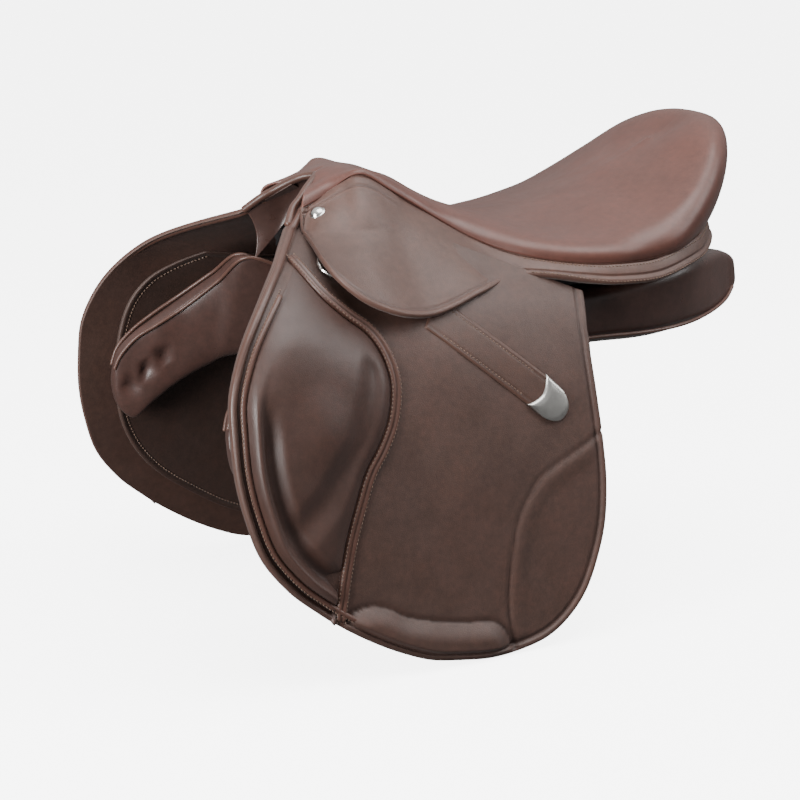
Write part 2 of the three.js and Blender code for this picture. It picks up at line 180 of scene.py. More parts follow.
def ramp(tree, value, stops):
    """a colour ramp over a value, from (position, colour) stops"""
    node = add_node(tree, "ShaderNodeValToRGB", {"Fac": value})
    elements = node.color_ramp.elements
    while len(elements) < len(stops):
        elements.new(0.5)
    for element, (at, colour) in zip(elements, stops):
        element.position = at
        element.color = colour
    return node.outputs["Color"]


def noise(tree, where, scale, detail=3.0, roughness=0.55):
    node = add_node(tree, "ShaderNodeTexNoise", {"Vector": where, "Scale": scale, "Detail": detail})
    node.inputs["Roughness"].default_value = roughness
    return node.outputs["Fac"]


def leather(name, colour, rough=0.5, grain=1.0, wear=1.0, sheen=0.1, coat=0.0, mottle=1.0):
    """grained hide: mottled dye, paler where edges rub, and painted shade that darkens its creases and hollows, over
    fine pebbling
    """
    material, tree, shader = nodes_of(name)
    where = add_node(tree, "ShaderNodeTexCoord").outputs["Object"]
    base = np.asarray(colour, float)
    cloud = noise(tree, where, 14, 4)
    fleck = noise(tree, where, 160, 3, 0.65)
    mixed = add_node(tree, "ShaderNodeMath", {0: cloud, 1: fleck}, operation="ADD").outputs[0]
    dye = ramp(tree, add_node(tree, "ShaderNodeMath", {0: mixed, 1: 0.5}, operation="MULTIPLY").outputs[0], [
        (0.34, linear(base * (1 - 0.11 * mottle))), (0.5, linear(base)),
        (0.66, linear(base * (1 + 0.09 * mottle) + [2, 0, 0]))])
    cells = add_node(tree, "ShaderNodeTexVoronoi", {"Vector": where, "Scale": 820}, feature="DISTANCE_TO_EDGE")
    pebble = ramp(tree, cells.outputs["Distance"], [(0.0, (0, 0, 0, 1)), (0.24, (1, 1, 1, 1))])
    pores = ramp(tree, cells.outputs["Distance"], [(0.0, (0.8, 0.8, 0.8, 1)), (0.12, (1, 1, 1, 1))])
    grained = add_node(tree, "ShaderNodeMix", {"Factor": 0.55, 6: dye, 7: pores}, data_type="RGBA",
                       blend_type="MULTIPLY").outputs[2]
    edge = add_node(tree, "ShaderNodeNewGeometry").outputs["Pointiness"]
    rubbed = ramp(tree, edge, [(0.515, (0, 0, 0, 1)), (0.6, (wear * 0.5,) * 3 + (1,))])
    # painted shade: the colour darkens in concave places, where shade would fall
    painted_crease_shade = ramp(tree, edge, [(0.42, (0.45, 0.45, 0.45, 1)), (0.492, (1, 1, 1, 1))])
    worn = add_node(tree, "ShaderNodeMix", {"Factor": rubbed, 6: grained, 7: linear(base * 1.35 + 12)},
                    data_type="RGBA").outputs[2]
    final = add_node(tree, "ShaderNodeMix", {"Factor": 1.0, 6: worn, 7: painted_crease_shade}, data_type="RGBA",
                     blend_type="MULTIPLY").outputs[2]
    tree.links.new(final, shader.inputs["Base Color"])
    smear = noise(tree, where, 36, 3)
    polish = add_node(tree, "ShaderNodeMapRange", {"Value": smear, "From Min": 0.3, "From Max": 0.7,
                                                   "To Min": rough - 0.06, "To Max": rough + 0.07})
    tree.links.new(polish.outputs[0], shader.inputs["Roughness"])
    wrinkle = noise(tree, where, 420, 4, 0.6)
    height = add_node(tree, "ShaderNodeMath", {0: pebble, 1: wrinkle}, operation="ADD").outputs[0]
    fine = add_node(tree, "ShaderNodeBump", {"Height": height, "Strength": 0.22 * grain, "Distance": 0.00035})
    swell = add_node(tree, "ShaderNodeBump", {"Height": cloud, "Strength": 0.25 * grain, "Distance": 0.0012,
                                              "Normal": fine.outputs["Normal"]})
    tree.links.new(swell.outputs["Normal"], shader.inputs["Normal"])
    shader.inputs["Specular IOR Level"].default_value = 0.42
    shader.inputs["Sheen Weight"].default_value = sheen
    shader.inputs["Sheen Roughness"].default_value = 0.45
    shader.inputs["Coat Weight"].default_value = coat
    shader.inputs["Coat Roughness"].default_value = 0.35
    return material


def metal(name, colour, rough, brushed=0.0):
    """plated or steel fittings: slight scratches and uneven polish"""
    material, tree, shader = nodes_of(name)
    where = add_node(tree, "ShaderNodeTexCoord").outputs["Object"]
    haze = noise(tree, where, 90, 4)
    base = np.asarray(colour, float)
    tree.links.new(ramp(tree, haze, [(0.35, linear(base * 0.95)), (0.65, linear(base))]),
                   shader.inputs["Base Color"])
    stretched = add_node(tree, "ShaderNodeMapping", {"Vector": where, "Scale": (260, 260, 2600)}).outputs[0]
    lines = noise(tree, stretched, 1, 2)
    polish = add_node(tree, "ShaderNodeMapRange", {"Value": haze, "To Min": rough - 0.05, "To Max": rough + 0.1})
    tree.links.new(polish.outputs[0], shader.inputs["Roughness"])
    scratches = add_node(tree, "ShaderNodeBump", {"Height": lines, "Strength": 0.08 + brushed, "Distance": 0.0002})
    tree.links.new(scratches.outputs["Normal"], shader.inputs["Normal"])
    shader.inputs["Metallic"].default_value = 1.0
    return material


def woven(name, colour, pitch=1.6):
    """tight cotton or nylon weave"""
    material, tree, shader = nodes_of(name)
    where = add_node(tree, "ShaderNodeTexCoord").outputs["Object"]
    waves = []
    for axis in ("X", "Y", "Z"):
        wave = add_node(tree, "ShaderNodeTexWave", {"Vector": where, "Scale": 314 / pitch, "Distortion": 0.6},
                        bands_direction=axis)
        waves.append(wave.outputs["Fac"])
    height = waves[0]
    for wave in waves[1:]:
        height = add_node(tree, "ShaderNodeMath", {0: height, 1: wave}, operation="MULTIPLY").outputs[0]
    tint = np.asarray(colour, float)
    tree.links.new(ramp(tree, height, [(0.0, linear(tint * 0.62)), (0.5, linear(tint * 1.1))]),
                   shader.inputs["Base Color"])
    threads = add_node(tree, "ShaderNodeBump", {"Height": height, "Strength": 0.5, "Distance": 0.0004})
    tree.links.new(threads.outputs["Normal"], shader.inputs["Normal"])
    shader.inputs["Roughness"].default_value = 0.85
    shader.inputs["Sheen Weight"].default_value = 0.2
    return material


def moulded(name, colour, rough=0.45):
    """the moulded tree: faint flow marks over a fine texture"""
    material, tree, shader = nodes_of(name)
    where = add_node(tree, "ShaderNodeTexCoord").outputs["Object"]
    flow = noise(tree, where, 22, 3)
    tint = np.asarray(colour, float)
    tree.links.new(ramp(tree, flow, [(0.35, linear(tint * 0.85)), (0.65, linear(tint * 1.1))]),
                   shader.inputs["Base Color"])
    fine = noise(tree, where, 1500, 2)
    texture = add_node(tree, "ShaderNodeBump", {"Height": fine, "Strength": 0.25, "Distance": 0.0002})
    tree.links.new(texture.outputs["Normal"], shader.inputs["Normal"])
    shader.inputs["Roughness"].default_value = rough
    return material


FLAP_HIDE = leather("flap_hide", (70, 50, 43), rough=0.5, grain=1.0, sheen=0.05)
PAD_HIDE = leather("pad_hide", (62, 43, 37), rough=0.42, grain=0.7, sheen=0.05, mottle=0.7)
SEAT_HIDE = leather("seat_hide", (86, 54, 46), rough=0.38, grain=0.5, sheen=0.04, mottle=0.8)
SKIRT_HIDE = leather("skirt_hide", (80, 57, 49), rough=0.46, grain=1.0, sheen=0.06)
PANEL_HIDE = leather("panel_hide", (64, 45, 40), rough=0.33, grain=0.5, sheen=0.03)
STRAP_HIDE = leather("strap_hide", (68, 47, 39), rough=0.46, grain=0.9, sheen=0.04)
SWEAT_HIDE = leather("sweat_hide", (54, 38, 32), rough=0.52, grain=1.1, sheen=0.04)
CORD_HIDE = leather("cord_hide", (74, 50, 42), rough=0.36, grain=0.4, wear=0.6, sheen=0.04)
THREAD = woven("thread", (134, 104, 86), pitch=0.8)
STEEL = metal("steel", (214, 212, 208), rough=0.16)
BRUSHED = metal("brushed_steel", (188, 186, 182), rough=0.3, brushed=0.1)
DARK_STEEL = metal("forged_steel", (120, 120, 122), rough=0.38, brushed=0.05)
WEBBING = woven("webbing", (196, 182, 156))
RESIN = moulded("resin", (44, 42, 42))


# ---------------------------------------------------------------- mesh builders
def mesh_object(name, vertices, faces, material):
    """a smooth-shaded object from vertices in metres"""
    mesh = bpy.data.meshes.new(name)
    mesh.from_pydata([tuple(v) for v in vertices], [], faces)
    mesh.validate()
    mesh.polygons.foreach_set("use_smooth", [True] * len(mesh.polygons))
    mesh.materials.append(material)
    obj = bpy.data.objects.new(name, mesh)
    bpy.context.scene.collection.objects.link(obj)
    return obj


def outward(vertices, faces):
    """the faces, turned so that the closed body's volume is positive"""
    v = np.asarray(vertices)
    corners = np.array([[f[0], f[i], f[i + 1]] for f in faces for i in range(1, len(f) - 1)])
    a, b, c = v[corners[:, 0]], v[corners[:, 1]], v[corners[:, 2]]
    volume = np.einsum("ij,ij->i", a, np.cross(b, c)).sum()
    return faces if volume > 0 else [f[::-1] for f in faces]


def slab(name, outer, inner, material):
    """a closed sheet between two grids of points, each rows x columns x 3, in mm from the pommel"""
    rows, columns = outer.shape[:2]
    n = rows * columns
    grid = np.arange(n).reshape(rows, columns)
    a, b, c, d = grid[:-1, :-1].ravel(), grid[:-1, 1:].ravel(), grid[1:, 1:].ravel(), grid[1:, :-1].ravel()
    faces = np.stack([a, b, c, d], 1).tolist() + np.stack([a + n, d + n, c + n, b + n], 1).tolist()
    border = np.r_[grid[0, :-1], grid[:-1, -1], grid[-1, :0:-1], grid[:0:-1, 0]]
    for i, j in zip(border, np.roll(border, -1)):
        faces.append([int(j), int(i), int(i + n), int(j + n)])
    vertices = to_frame(np.concatenate([outer.reshape(-1, 3), inner.reshape(-1, 3)]))
    return mesh_object(name, vertices, outward(vertices, faces), material)


def tube(name, path, radius, material, sides=10):
    """a round cord along a path in mm from the pommel, with rounded ends; radius may vary along it"""
    p = np.asarray(path, float)
    count = len(p)
    r = np.broadcast_to(np.asarray(radius, float), (count,)).copy()
    tangent = np.gradient(p, axis=0)
    tangent /= np.linalg.norm(tangent, axis=1)[:, None]
    normal = np.cross(tangent[0], [0, 0, 1.0])
    if np.linalg.norm(normal) < 0.1:
        normal = np.cross(tangent[0], [0, 1.0, 0])
    rings = []
    for i in range(count):
        normal = normal - tangent[i] * (normal @ tangent[i])
        normal /= np.linalg.norm(normal)
        other = np.cross(tangent[i], normal)
        angle = np.linspace(0, 2 * math.pi, sides, endpoint=False)[:, None]
        rings.append(p[i] + r[i] * (np.cos(angle) * normal + np.sin(angle) * other))
    v = np.concatenate(rings)
    faces = []
    for i in range(count - 1):
        for k in range(sides):
            m = (k + 1) % sides
            faces.append([i * sides + k, i * sides + m, (i + 1) * sides + m, (i + 1) * sides + k])
    ends = np.stack([p[0] - tangent[0] * r[0] * 0.6, p[-1] + tangent[-1] * r[-1] * 0.6])
    v = np.concatenate([v, ends])
    last = (count - 1) * sides
    for k in range(sides):
        m = (k + 1) % sides
        faces.append([m, k, len(v) - 2])
        faces.append([last + k, last + m, len(v) - 1])
    v = to_frame(v)
    return mesh_object(name, v, outward(v, faces), material)


STITCH_PITCH, STITCH_LENGTH, STITCH_RADIUS = 3.4, 2.3, 0.5
STITCH_RINGS = ((-0.5, 0.35, -0.55), (-0.3, 1, 0), (0.3, 1, 0), (0.5, 0.35, -0.55))    # along, size, sink


def stitch_rows(name, rows):
    """sewn thread: short cords laid along each row of (points, normals), sunk a little at their ends"""
    vertices, faces = [], []
    ring = np.linspace(0, 2 * math.pi, 6, endpoint=False)
    for points, normals in rows:
        p = even(points, STITCH_PITCH)
        n = np.asarray(normals, float)
        at = np.linspace(0, len(n) - 1, len(p))
        n = np.stack([np.interp(at, np.arange(len(n)), n[:, i]) for i in range(3)], 1)
        n /= np.linalg.norm(n, axis=1)[:, None]
        t = np.gradient(p, axis=0)
        t /= np.linalg.norm(t, axis=1)[:, None]
        for centre, along, up in zip(p, t, n):
            across = np.cross(along, up)
            base = len(vertices)
            for step, size, sink in STITCH_RINGS:
                middle = centre + along * step * STITCH_LENGTH + up * sink * STITCH_RADIUS
                for a in ring:
                    spoke = math.cos(a) * across + math.sin(a) * up
                    vertices.append(middle + STITCH_RADIUS * size * spoke)
            for k in range(3):
                for m in range(6):
                    q = (m + 1) % 6
                    faces.append([base + k * 6 + m, base + k * 6 + q, base + k * 6 + 6 + q, base + k * 6 + 6 + m])
            faces.append([base + m for m in range(5, -1, -1)])
            faces.append([base + 18 + m for m in range(6)])
    return mesh_object(name, to_frame(vertices), faces, THREAD)


def sheet_grid(front, rear, columns, rows):
    """(x, z) grids between a front edge and a rear edge, with points crowded towards all four edges"""
    u, v = [lerp(t, (1 - np.cos(t * math.pi)) / 2, 0.55)
            for t in (np.linspace(0, 1, columns), np.linspace(0, 1, rows))]
    a, b = spline(front, v), spline(rear, v)
    grid = a[:, None, :] + (b - a)[:, None, :] * u[None, :, None]
    outline = np.concatenate([a, b[::-1], a[:1]])
    return grid[..., 0], grid[..., 1], outline


def on_side(s, x, z, offset):
    """points on one side of the saddle, at an offset outwards"""
    return np.stack([x, s * (side(x, z) + offset), z], -1)


def side_normals(s, x, z):
    """outward normals of the saddle's side, from differences e mm either way"""
    e = 0.5
    dx = (side(x + e, z) - side(x - e, z)) / (2 * e)
    dz = (side(x, z + e) - side(x, z - e)) / (2 * e)
    n = np.stack([-dx, np.full_like(dx, s), -dz], -1)
    return n / np.linalg.norm(n, axis=-1)[..., None]


def inset(line, gap):
    """a polyline moved sideways, to its left for a positive gap"""
    p = np.asarray(line, float)
    t = np.gradient(p, axis=0)
    t /= np.linalg.norm(t, axis=1)[:, None]
    return p + gap * np.stack([-t[:, 1], t[:, 0]], 1)


def swept(name, path, normals, profile, material):
    """a bar along a path: each profile point is (across, up) in mm, and the first and last lie underneath"""
    p, n = np.asarray(path, float), np.asarray(normals, float)
    t = np.gradient(p, axis=0)
    t /= np.linalg.norm(t, axis=1)[:, None]
    across = np.cross(n, t)
    across /= np.linalg.norm(across, axis=1)[:, None]
    size = np.ones(len(p))
    size[0] = size[-1] = 0.55
    q = np.asarray(profile, float)
    rings = p[:, None] + size[:, None, None] * (q[None, :, :1] * across[:, None] + q[None, :, 1:] * n[:, None])
    count, sides = rings.shape[:2]
    faces = [[i * sides + k, i * sides + (k + 1) % sides, (i + 1) * sides + (k + 1) % sides, (i + 1) * sides + k]
             for i in range(count - 1) for k in range(sides)]
    faces += [list(range(sides))[::-1], [(count - 1) * sides + k for k in range(sides)]]
    v = to_frame(rings.reshape(-1, 3))
    return mesh_object(name, v, outward(v, faces), material)


def surface_line(s, line, offset):
    """a line of (x, z) as 3-D points 2 mm apart on one side of the saddle, with the normals there"""
    p = even(spline(line, np.linspace(0, 1, len(line) * 8)), 2.0)
    x, z = p[:, 0], p[:, 1]
    return on_side(s, x, z, offset), side_normals(s, x, z)


def on_saddle(obj):
    """the piece is fixed to the saddle"""
    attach(obj, "saddle")


def on_flap(obj):
    """the piece's transform, baked into its mesh"""
    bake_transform(obj)
    return obj


# ---------------------------------------------------------------- the flaps
# outlines in (x, z), from the pommel down the front edge to the bottom and from the rear top corner down
FLAP_FRONT = [(-17, -7), (-29, -17), (-47, -31), (-78, -48), (-106, -66), (-130, -90), (-146, -114), (-157, -143),
              (-159, -173), (-158, -205), (-152, -237), (-140, -272), (-118, -301), (-95, -321), (-76, -335),
              (-49, -352), (-22, -366), (6, -377), (34, -382)]
FLAP_REAR = [(188, -94), (182, -120), (181, -134), (180, -148), (181, -182), (183, -216), (184, -249), (181, -283),
             (173, -312), (160, -341), (142, -362), (120, -376), (92, -383), (63, -385), (34, -382)]
WELT = [(-68, -50), (-57, -73), (-41, -90), (-23, -105), (-13, -123), (-9, -143), (-11, -160), (-17, -179),
        (-28, -198), (-41, -216), (-51, -239), (-61, -266), (-68, -293), (-74, -321), (-76, -334)]
REAR_LINE = [(183, -207), (159, -219), (138, -228), (118, -239), (104, -256), (94, -275), (88, -300), (84, -325),
             (83, -352), (88, -380)]
ROLL_TOP = [(-74, -334), (-62, -326), (-46, -324), (-30, -329), (-12, -339), (17, -347), (45, -352), (66, -355),
            (78, -364), (84, -380)]
ALONG = np.linspace(0, 1, 240)
FLAP_EDGE = np.concatenate([spline(FLAP_FRONT, ALONG), spline(FLAP_REAR, ALONG)[::-1]])
FRONT_EDGE = spline(FLAP_FRONT, ALONG)
WELT_LINE = spline(WELT, ALONG)
REAR_GROOVE = spline(REAR_LINE, ALONG)
ROLL_LINE = spline(ROLL_TOP, ALONG)


def hide_swell(x, z):
    """the slow unevenness of a big piece of hide"""
    return (0.5 * np.sin(x / 31 + z / 57 + 1.3) + 0.4 * np.sin(z / 23 - x / 71) + 0.22 * np.sin(x / 13 + z / 17)
            + 0.14 * np.sin(x / 7.1 - z / 9.3 + 0.6))


def flap_height(x, z):
    """how far the flap's face stands out from its flat sheet"""
    edge = np.abs(distance(x, z, FLAP_EDGE))
    front = np.abs(distance(x, z, FRONT_EDGE))
    welt = np.abs(distance(x, z, WELT_LINE))
    rear = distance(x, z, REAR_GROOVE)
    roll = distance(x, z, ROLL_LINE)
    ahead = smooth((60 - front) / 40)
    bead = lerp(1.3, 3.0, ahead) * np.sqrt(np.maximum(1 - ((edge - 2.6) / 2.6) ** 2, 0))
    gap = -1.3 * bump((edge - 7) / 3.2)
    swell = hide_swell(x, z) * smooth((edge - 8) / 30) * 0.8
    beside_welt = -0.9 * bump(welt / 9)
    groove = -1.9 * bump(rear / 3.2) + 1.3 * bump((rear + 7) / 14) * smooth((edge - 6) / 8)
    inside_roll = (z < -318) & (x > -76) & (x < 90) & (roll > 0)
    crown = 8.0 * np.sqrt(smooth(roll / 15)) * smooth((edge - 1) / 10)
    lift = np.where(inside_roll, crown, -1.4 * bump(roll / 6) * (z < -318) * (x < 92))
    return bead + gap + swell + beside_welt + np.where(inside_roll, 0, groove) + lift


def flap(s, name):
    """the flap's leather, from the pommel to its lowest edge"""
    x, z, _ = sheet_grid(FLAP_FRONT, FLAP_REAR, 150, 190)
    face = on_side(s, x, z, FLAP_OUT + flap_height(x, z))
    back = on_side(s, x, z, FLAP_IN)
    sheet = slab(f"flap_leather_{name}", face, back, FLAP_HIDE)
    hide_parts(f"flap_{name}", f"flap_head_{name}")
    on_flap(sheet)


def pad_height(x, z, front, welt):
    """the knee pad's crown: a ridge along its front seam, a hollow behind it, and a fold across the middle"""
    crown = 13.5 * (1 - np.exp(-front / 9)) * (1 - np.exp(-welt / 13))
    low = smooth((-60 - z) / 50)
    ridge = 5.5 * bump((front - 6) / 8) * smooth((-110 - z) / 50)
    hollow = -7.5 * bump((front - 17) / 12) * smooth((-135 - z) / 50) * smooth((z + 350) / 60)
    fold = distance(x, z, np.array([(-30.0, -135), (-52, -188), (-84, -228), (-112, -252)]))
    crease = -4.5 * bump(fold / 20) * smooth((front - 8) / 20) * smooth((welt - 4) / 14)
    knoll = 4.0 * bump(np.hypot((x + 84) / 34, (z + 175) / 42))
    return np.minimum(crown, 14) * lerp(0.45, 1, low) + ridge + hollow + crease + knoll * smooth(front / 14)


def knee_pad(s, name):
    """the padded area between the flap's front edge and its welt"""
    span = FRONT_EDGE[(FRONT_EDGE[:, 1] < -50) & (FRONT_EDGE[:, 0] < -78)]
    front = inset(span, 12)
    foot = np.array([[-86.0, -326]])
    ahead = np.concatenate([[[-72, -57]], front[6:-4], foot])
    behind = inset(WELT_LINE[4:], -5.0)
    x, z, _ = sheet_grid(ahead, behind, 64, 150)
    to_front = np.abs(distance(x, z, ahead))
    to_welt = np.abs(distance(x, z, behind))
    height = pad_height(x, z, to_front, to_welt)
    edge = np.minimum.reduce([smooth(to_front / 3), smooth(to_welt / 3)])
    face = on_side(s, x, z, FLAP_OUT + 0.6 + height * np.sqrt(edge))
    back = on_side(s, x, z, FLAP_OUT - 1.6)
    pad = slab(f"knee_pad_leather_{name}", face, back, PAD_HIDE)
    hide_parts(f"knee_pad_{name}")
    on_flap(pad)


def flap_trim(s, name):
    """the piped front seam, the double-stitched welt behind the pad, and the rows of thread"""
    line = inset(FRONT_EDGE[(FRONT_EDGE[:, 1] < -20)], 2.8)
    path, normals = surface_line(s, line[::5], FLAP_OUT - 0.4)
    taper = lerp(3.5, 2.4, smooth(np.linspace(0, 1, len(path)) * 1.3))
    roll = tube(f"front_roll_{name}", path, taper, CORD_HIDE, sides=14)
    on_flap(roll)
    line = inset(FRONT_EDGE[(FRONT_EDGE[:, 1] < -64)], 10.5)
    path, normals = surface_line(s, line[::6], FLAP_OUT + 1.2)
    cord = tube(f"front_piping_{name}", path, 2.5, CORD_HIDE)
    on_flap(cord)
    path, normals = surface_line(s, WELT_LINE[::6], FLAP_OUT)
    profile = [(-4.6, -1.2), (-4.7, 0.8), (-4.0, 2.6), (-2.4, 3.5), (-0.9, 2.9), (0, 2.1),
               (0.9, 2.9), (2.4, 3.5), (4.0, 2.6), (4.7, 0.8), (4.6, -1.2)]
    rib = swept(f"pad_welt_{name}", path, normals, profile, CORD_HIDE)
    on_flap(rib)
    rows = []
    tangent = np.gradient(path, axis=0)
    tangent /= np.linalg.norm(tangent, axis=1)[:, None]
    across = np.cross(normals, tangent)
    for lean in (-3.9, 3.9):
        rows.append((path + across * lean + normals * 2.6, normals + across * np.sign(lean) * 0.8))
    line = inset(FRONT_EDGE[(FRONT_EDGE[:, 1] < -60)], 8.2)
    path, normals = surface_line(s, line[::6], FLAP_OUT + 2.6)
    rows.append((path, normals))
    thread = stitch_rows(f"flap_stitching_{name}", rows)
    on_flap(thread)


for NAME, SIDE in SIDES:
    flap(SIDE, NAME)
    knee_pad(SIDE, NAME)
    flap_trim(SIDE, NAME)


# ---------------------------------------------------------------- the seat
def grid_normals(grid):
    """outward normals of a grid of points"""
    n = np.cross(np.gradient(grid, axis=1), np.gradient(grid, axis=0))
    return n / np.maximum(np.linalg.norm(n, axis=-1), 1e-6)[..., None]


def sheet(name, grid, material, thickness):
    """one side of a thin piece as an open grid, welded where rows meet, and thickened inwards"""
    rows, columns = grid.shape[:2]
    index = np.arange(rows * columns).reshape(rows, columns)
    a, b, c, d = index[:-1, :-1].ravel(), index[:-1, 1:].ravel(), index[1:, 1:].ravel(), index[1:, :-1].ravel()
    obj = mesh_object(name, to_frame(grid.reshape(-1, 3)), np.stack([a, b, c, d], 1).tolist(), material)
    welded = bmesh.new()
    welded.from_mesh(obj.data)
    bmesh.ops.remove_doubles(welded, verts=welded.verts, dist=1e-5)
    welded.to_mesh(obj.data)
    welded.free()
    solidify = obj.modifiers.new("thickness", "SOLIDIFY")
    solidify.thickness = thickness / 1000
    solidify.offset = -1
    return obj


# ribs of the seat: spine (x, z), ridge (x, y, z) and seam (x, y, z), from the pommel round to the cantle's middle
RIBS = [
    ((2, 3), (-14, 18, -6), (-34, 41, -19)), ((8, 6), (-4, 22, -1), (-19, 37, -14)),
    ((16, 7.5), (6, 26, 3), (-5, 35, -8)), ((26, 8), (17, 30, 7), (8, 38, 1)),
    ((36, 6), (28, 32, 6), (18, 43, 6)), ((47, 2), (40, 31, 3), (29, 45, 3)),
    ((62, -4), (56, 29, -3), (45, 49, -8)), ((82, -15), (78, 33, -16), (70, 54, -24)),
    ((102, -25), (98, 40, -27), (92, 60, -38)), ((122, -33), (118, 52, -36), (112, 73, -50)),
    ((141, -39), (136, 64, -43), (133, 90, -60)), ((164, -43), (160, 80, -50), (158, 109, -66)),
    ((190, -43), (188, 94, -54), (190, 125, -70)), ((218, -39), (218, 106, -53), (220, 135, -71)),
    ((246, -32), (250, 114, -48), (250, 134, -71)), ((272, -23), (280, 115, -40), (284, 132, -66)),
    ((294, -13), (310, 110, -25), (312, 119, -59)), ((312, -5), (337, 94, -5), (335, 99, -56)),
    ((326, 2), (360, 72, 16), (356, 76, -55)), ((335, 7), (377, 49, 28), (375, 50, -55)),
    ((341, 10), (388, 26, 33), (387, 26, -55)), ((343, 11), (391, 0, 34), (391, 0, -56)),
]
SPINE = [(x, 0, z) for (x, z), _, _ in RIBS]
RIDGE = [ridge for _, ridge, _ in RIBS]
SEAM = [seam for _, _, seam in RIBS]


def seat_rib(u, steps):
    """points from the spine over the ridge to the seam, at one place along the seat"""
    spine, ridge, seam = (spline(line, u)[0] for line in (SPINE, RIDGE, SEAM))
    out = np.array([*(seam - spine)[:2], 0])
    out /= np.linalg.norm(out)
    inner, outer = np.linalg.norm(ridge - spine), np.linalg.norm(seam - ridge)
    fall = 0.5 * ((ridge - spine)[2] / inner + (seam - ridge)[2] / outer)
    over = out + [0, 0, lerp(0.8, 0.45, smooth((u - 0.4) / 0.25)) * fall]
    over /= np.linalg.norm(over)
    tuck = lerp(-0.2, 0.7, smooth((u - 0.4) / 0.25)) - 0.3 * smooth((u - 0.8) / 0.2)
    down = -tuck * out - [0, 0, 1.0]

    def hermite(p, q, m, n, t):
        t = t[:, None]
        return ((2 * t ** 3 - 3 * t ** 2 + 1) * p + (t ** 3 - 2 * t ** 2 + t) * m
                + (3 * t ** 2 - 2 * t ** 3) * q + (t ** 3 - t ** 2) * n)

    first = hermite(spine, ridge, out * inner, over * inner * 0.9, np.linspace(0, 1, steps, endpoint=False))
    strength = outer * (lerp(0.9, 1.5, smooth((u - 0.4) / 0.25)) - 0.5 * smooth((u - 0.72) / 0.2))
    rest = hermite(ridge, seam, over * strength, down * outer, np.linspace(0, 1, steps + 1))
    return np.concatenate([first, rest])


def seat():
    """the seat's cover in one sheet over both sides, and the welt round its seam"""
    ribs = np.stack([seat_rib(u, 24) for u in np.linspace(0, 1, 170)])
    near = ribs * [1, -1, 1]
    grid = np.concatenate([near[:, :0:-1], ribs], axis=1)
    x, y = grid[..., 0], grid[..., 1]
    across = np.abs(np.linspace(-1, 1, grid.shape[1]))[None, :]
    crease = 0.35 * np.sin(x / 9 + y / 23) * bump((x - 95) / 60) * across
    grid = grid + grid_normals(grid) * (crease + 0.3 * np.sin(x / 37 + 1) * np.sin(y / 29))[..., None]
    cover = sheet("seat_leather", grid, SEAT_HIDE, 2.4)
    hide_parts("seat_cover", "seat_foam")
    on_saddle(cover)
    line = spline(SEAM, np.linspace(0, 1, 220))
    welt = np.concatenate([line * [1, -1, 1], line[-2::-1]]) + [0, 0, -1.2]
    cord = tube("seat_welt", welt, 1.9, CORD_HIDE)
    on_saddle(cord)


seat()


# ---------------------------------------------------------------- skirts, and the band they turn into behind
SKIRT_TOP = [(-34, 42, -19), (-28, 40, -17), (-20, 38, -14), (-12, 37, -10), (-3, 38, -5), (6, 39, 0), (16, 44, 4.5),
             (28, 47, 2), (44, 51, -8), (60, 54, -19), (82, 59, -32), (103, 69, -46), (119, 81, -55), (136, 96, -63),
             (160, 113, -68), (191, 128, -72), (219, 138, -73), (263, 137, -72), (310, 122, -62), (336, 101, -58),
             (373, 54, -57), (388, 26, -57), (393, 0, -58)]
SKIRT_EDGE = [(-36, 45, -22), (-38, 49, -27), (-43, 72, -39), (-48, 105, -50), (-44, 127, -63), (-30, 143, -78),
              (-12, 150, -88), (10, 150, -95), (34, 143, -98), (60, 140, -94), (87, 134, -87), (112, 123, -82),
              (128, 116, -79), (144, 120, -79), (167, 131, -81), (193, 139, -86), (220, 145, -89), (263, 143, -89),
              (310, 128, -80), (339, 104, -76), (377, 56, -74), (392, 27, -75), (397, 0, -76)]


def skirt_grid(columns, rows):
    """the skirt's face on the off side; rows run from the seat's seam to the free edge"""
    u = np.linspace(0, 1, columns)
    v = np.linspace(0, 1, rows)
    v = lerp(v, (1 - np.cos(v * math.pi)) / 2, 0.6)[:, None, None]
    grid = lerp(spline(SKIRT_TOP, u)[None], spline(SKIRT_EDGE, u)[None], v)
    x, z = grid[..., 0], grid[..., 2]
    on_leather = smooth((118 - x) / 55) * smooth((v[..., 0] - 0.2) / 0.8)
    proud = 4.5 * smooth((v[..., 0] - 0.5) / 0.5) * smooth((90 - x) / 60) * smooth((-30 - z) / 30)
    grid[..., 1] = lerp(grid[..., 1], skirt_side(x, z) + SKIRT_MIDDLE + proud, on_leather)
    return grid


def skirt_relief(grid):
    """the rolled free edge with its crease, and the second welt below the seat's seam"""
    step = np.linalg.norm(np.diff(grid, axis=0), axis=-1)
    from_top = np.concatenate([np.zeros((1, grid.shape[1])), np.cumsum(step, 0)])
    along = np.linalg.norm(np.diff(grid, axis=1), axis=-1)
    from_front = np.concatenate([np.zeros((grid.shape[0], 1)), np.cumsum(along, 1)], 1)
    edge = np.minimum(from_top[-1] - from_top, from_front + 1)
    x, z = grid[..., 0], grid[..., 2]
    bead = 1.5 * np.sqrt(np.maximum(1 - ((edge - 2.4) / 2.4) ** 2, 0))
    crease = -0.9 * bump((edge - 6.8) / 2.2)
    second = (-1.5 * bump((from_top - 9.5) / 2.2) + 0.9 * bump((from_top - 13) / 3)) * smooth((52 - x) / 24)
    swell = hide_swell(x, z) * 0.55 * smooth((edge - 7) / 16) * smooth((150 - x) / 40)
    band = smooth((x - 130) / 20)
    belly = 1.6 * band * np.sin(math.pi * np.linspace(0, 1, grid.shape[0]))[:, None]
    return bead * lerp(1, 0.8, band) + crease + second * smooth(from_front / 6) + swell + belly


